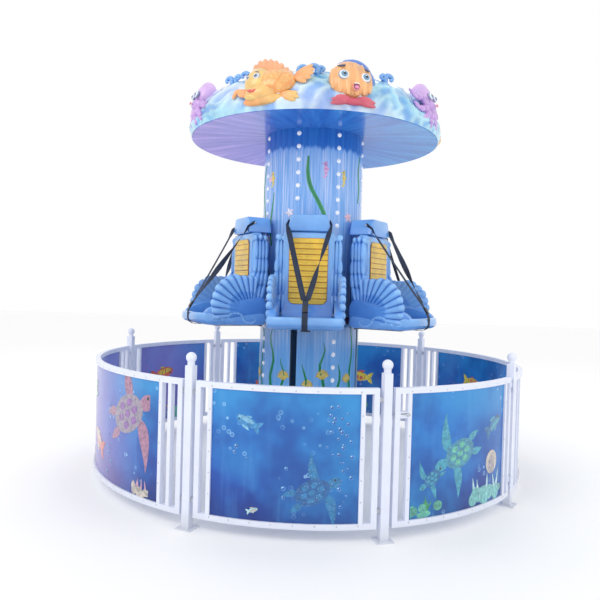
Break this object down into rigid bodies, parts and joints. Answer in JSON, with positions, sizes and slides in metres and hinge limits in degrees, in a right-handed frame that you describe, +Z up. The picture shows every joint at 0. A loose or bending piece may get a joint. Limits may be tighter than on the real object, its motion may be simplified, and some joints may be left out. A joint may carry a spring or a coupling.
{
  "type": "rotating drop-seat ride",
  "caption": "Children's ride: a turning tower with a sea-life canopy and bucket seats that slide up and down it, inside a round fence with a gate.",
  "frame": {"origin": "on the ground on the tower's axis, at the centre of the base plate's anchor circle", "axes": "+Z up, -Y towards the front seat and the fence's front panel"},
  "size_m": [4.0471, 4.04, 3.6262],
  "materials": {
    "blue_gelcoat": "gloss gelcoat",
    "canopy_gelcoat": "painted gloss gelcoat",
    "underside_gelcoat": "painted gloss gelcoat",
    "column_gelcoat": "painted gloss gelcoat",
    "fish_paint": "painted gloss gelcoat",
    "face_paint": "painted gloss gelcoat",
    "octopus_paint": "painted gloss gelcoat",
    "yellow_pad": "ribbed gloss insert",
    "lamp_lens": "diffusing lens",
    "picture_board": "printed gloss board",
    "white_coat": "semi-gloss powder coat",
    "dark_steel": "dark maroon paint",
    "grey_steel": "grey paint",
    "bare_steel": "machined",
    "zinc": "zinc plated",
    "webbing": "woven webbing",
    "black_plastic": "moulded",
    "roller_plastic": "cast polyurethane"
  },
  "bodies": {
    "ground": {"base_plate": "grey_steel", "base_drum": "grey_steel", "ring_gear": "bare_steel", "fence_posts": "white_coat", "post_caps": "white_coat", "fence_frame_1": "white_coat", "fence_frame_2": "white_coat", "fence_frame_3": "white_coat", "fence_frame_4": "white_coat", "fence_frame_5": "white_coat", "fence_boards": "picture_board", "panel_brackets": "zinc", "hinge_posts": "white_coat", "latch_keeper": "zinc"},
    "gate": {"gate_frame": "white_coat", "gate_board": "picture_board", "latch_case": "white_coat"},
    "latch": {"latch_bolt": "zinc"},
    "tower": {"turntable": "grey_steel", "bearing_ring": "bare_steel", "spin_motor": "grey_steel", "column_panel_1": "column_gelcoat", "column_panel_2": "column_gelcoat", "column_panel_3": "column_gelcoat", "column_panel_4": "column_gelcoat", "slot_rails": "grey_steel", "mast": "grey_steel", "drum_floor": "grey_steel", "upper_drum": "column_gelcoat", "lamps": "lamp_lens", "canopy_underside": "underside_gelcoat", "canopy_band": "canopy_gelcoat", "canopy_crown": "canopy_gelcoat", "canopy_frame": "grey_steel", "canopy_fish": "fish_paint", "canopy_round_fish": "face_paint", "canopy_octopus": "octopus_paint", "chain_bearings": "grey_steel", "lift_chain": "bare_steel", "lift_motor": "grey_steel"},
    "pinion": {"pinion": "bare_steel"},
    "sprocket_low": {"sprocket_low": "bare_steel"},
    "sprocket_high": {"sprocket_high": "bare_steel"},
    "carriage": {"carriage_hub": "dark_steel", "carriage_frame": "dark_steel", "seat_brackets": "dark_steel", "seat_1": "blue_gelcoat", "seat_2": "blue_gelcoat", "seat_3": "blue_gelcoat", "seat_4": "blue_gelcoat", "seat_5": "blue_gelcoat", "seat_6": "blue_gelcoat", "headrests": "blue_gelcoat", "back_pads": "yellow_pad", "belts": "webbing", "buckles": "black_plastic"},
    "roller_1": {"roller_1": "roller_plastic"},
    "roller_2": {"roller_2": "roller_plastic"},
    "roller_3": {"roller_3": "roller_plastic"},
    "roller_4": {"roller_4": "roller_plastic"}
  },
  "joints": [
    {"name": "tower_spin", "type": "hinge", "parent": "ground", "child": "tower", "pos_m": [0, 0, 0.12], "axis": [0, 0, 1], "continuous": true},
    {"name": "pinion_spin", "type": "hinge", "parent": "tower", "child": "pinion", "pos_m": [-0.192, 0.33255, 0.12], "axis": [0, 0, 1], "continuous": true},
    {"name": "seat_lift", "type": "slide", "parent": "tower", "child": "carriage", "axis": [0, 0, 1], "range_m": [-0.95, 0.62]},
    {"name": "sprocket_low_spin", "type": "hinge", "parent": "tower", "child": "sprocket_low", "pos_m": [0.13, -0.22517, 0.26], "axis": [0.866, 0.5, 0], "range_deg": [-900, 590]},
    {"name": "sprocket_high_spin", "type": "hinge", "parent": "tower", "child": "sprocket_high", "pos_m": [0.13, -0.22517, 2.38], "axis": [0.866, 0.5, 0], "range_deg": [-900, 590]},
    {"name": "gate_swing", "type": "hinge", "parent": "ground", "child": "gate", "pos_m": [1.69406, -1.13116, 0.5], "axis": [0, 0, 1], "range_deg": [0, 95]},
    {"name": "latch_slide", "type": "slide", "parent": "gate", "child": "latch", "axis": [-0.9537, -0.3007, 0], "range_m": [0, 0.034]},
    {"name": "roller_1_spin", "type": "hinge", "parent": "carriage", "child": "roller_1", "pos_m": [-0.02984, -0.11137, 1.545], "axis": [0.9659, -0.2588, 0], "range_deg": [-1430, 2175]},
    {"name": "roller_2_spin", "type": "hinge", "parent": "carriage", "child": "roller_2", "pos_m": [0.11137, -0.02984, 1.545], "axis": [0.2588, 0.9659, 0], "range_deg": [-1430, 2175]},
    {"name": "roller_3_spin", "type": "hinge", "parent": "carriage", "child": "roller_3", "pos_m": [0.02984, 0.11137, 1.545], "axis": [-0.9659, 0.2588, 0], "range_deg": [-1430, 2175]},
    {"name": "roller_4_spin", "type": "hinge", "parent": "carriage", "child": "roller_4", "pos_m": [-0.11137, 0.02984, 1.545], "axis": [-0.2588, -0.9659, 0], "range_deg": [-1430, 2175]}
  ],
  "couplings": [
    {"joint": "pinion_spin", "follows": "tower_spin", "ratio": 5},
    {"joint": "sprocket_low_spin", "follows": "seat_lift", "rad_per_m": 16.326},
    {"joint": "sprocket_high_spin", "follows": "seat_lift", "rad_per_m": 16.326},
    {"joint": "roller_1_spin", "follows": "seat_lift", "rad_per_m": -39.526},
    {"joint": "roller_2_spin", "follows": "seat_lift", "rad_per_m": -39.526},
    {"joint": "roller_3_spin", "follows": "seat_lift", "rad_per_m": -39.526},
    {"joint": "roller_4_spin", "follows": "seat_lift", "rad_per_m": -39.526}
  ]
}
